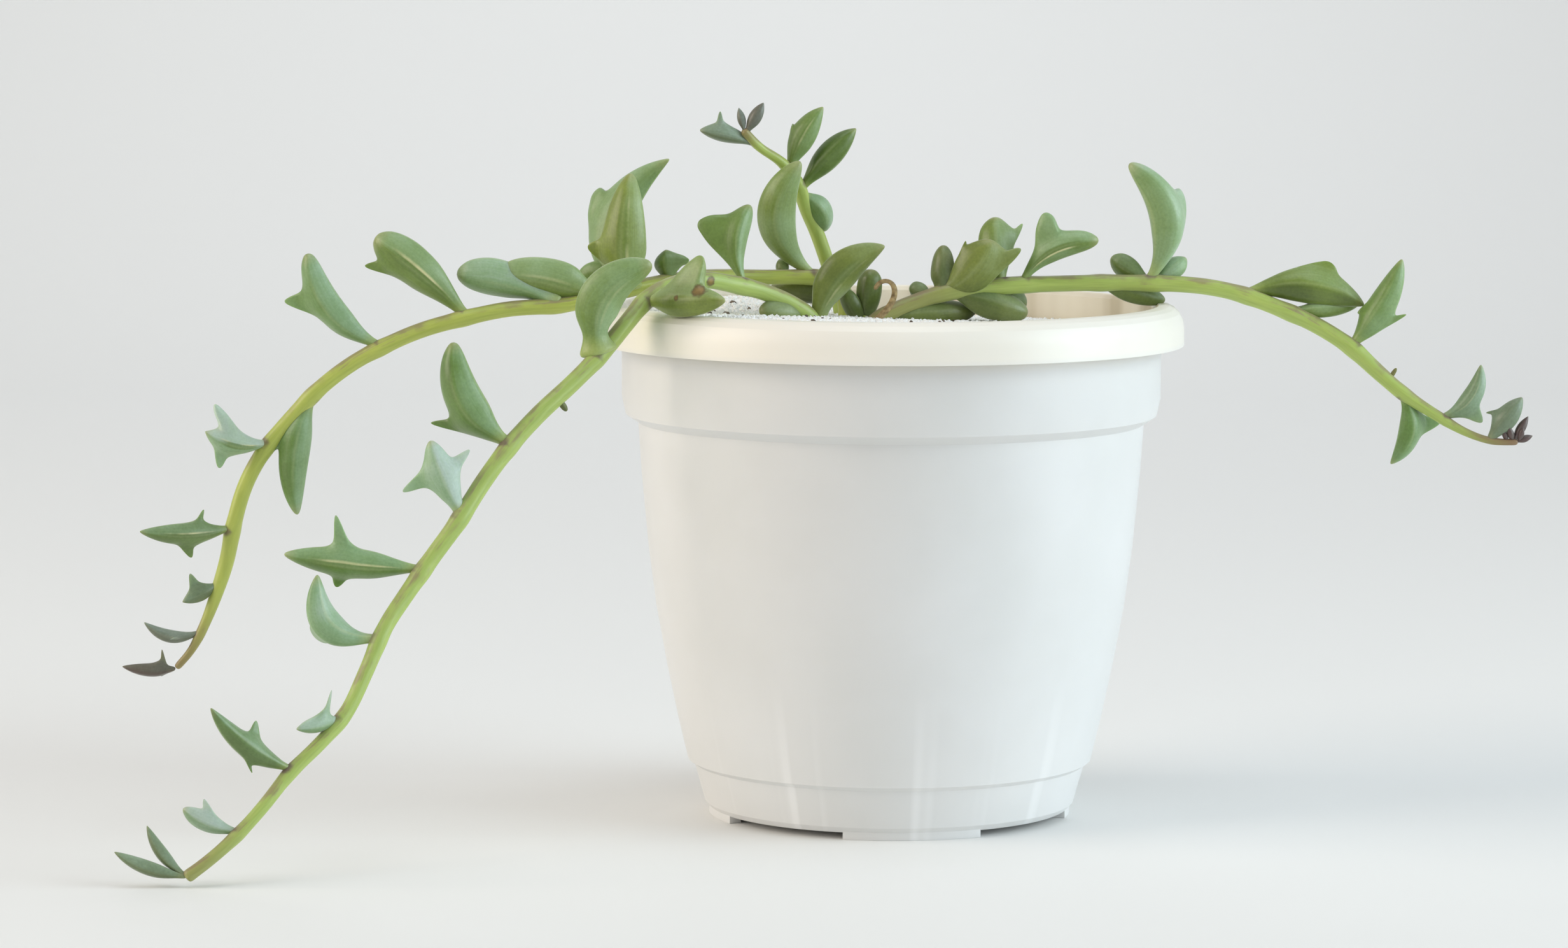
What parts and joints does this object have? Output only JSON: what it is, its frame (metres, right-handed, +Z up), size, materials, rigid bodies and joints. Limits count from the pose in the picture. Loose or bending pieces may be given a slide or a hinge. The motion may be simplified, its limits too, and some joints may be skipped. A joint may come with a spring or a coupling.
{
  "type": "potted string of dolphins",
  "caption": "Trailing succulent with fleshy, finned, dolphin-like leaves on long stems, growing in white grit in a round, tapered, white plastic nursery pot with a banded rim.",
  "frame": {"origin": "centre of the pot's underside, on the plane of the recessed floor between the feet; the pot's axis is X = Y = 0 and the feet stand on Z = 0, 1.3 mm lower", "axes": "+Z up along the pot's axis, +X to the picture's right, along the trailing stems, -Y towards the picture's viewer"},
  "size_m": [0.2618, 0.1392, 0.1342],
  "materials": {
    "pot_plastic": "satin",
    "potting_mix": "matte",
    "white_grit": "matte",
    "succulent_green": "satin",
    "succulent_olive": "satin",
    "dry_stem": "matte"
  },
  "bodies": {
    "root": {"pot": "pot_plastic", "potting_mix": "potting_mix", "white_grit": "white_grit", "vine_left": "succulent_green", "vine_front": "succulent_green", "vine_upright": "succulent_green", "vine_right": "succulent_green", "short_shoot": "succulent_olive", "dry_tendril": "dry_stem"}
  },
  "joints": []
}
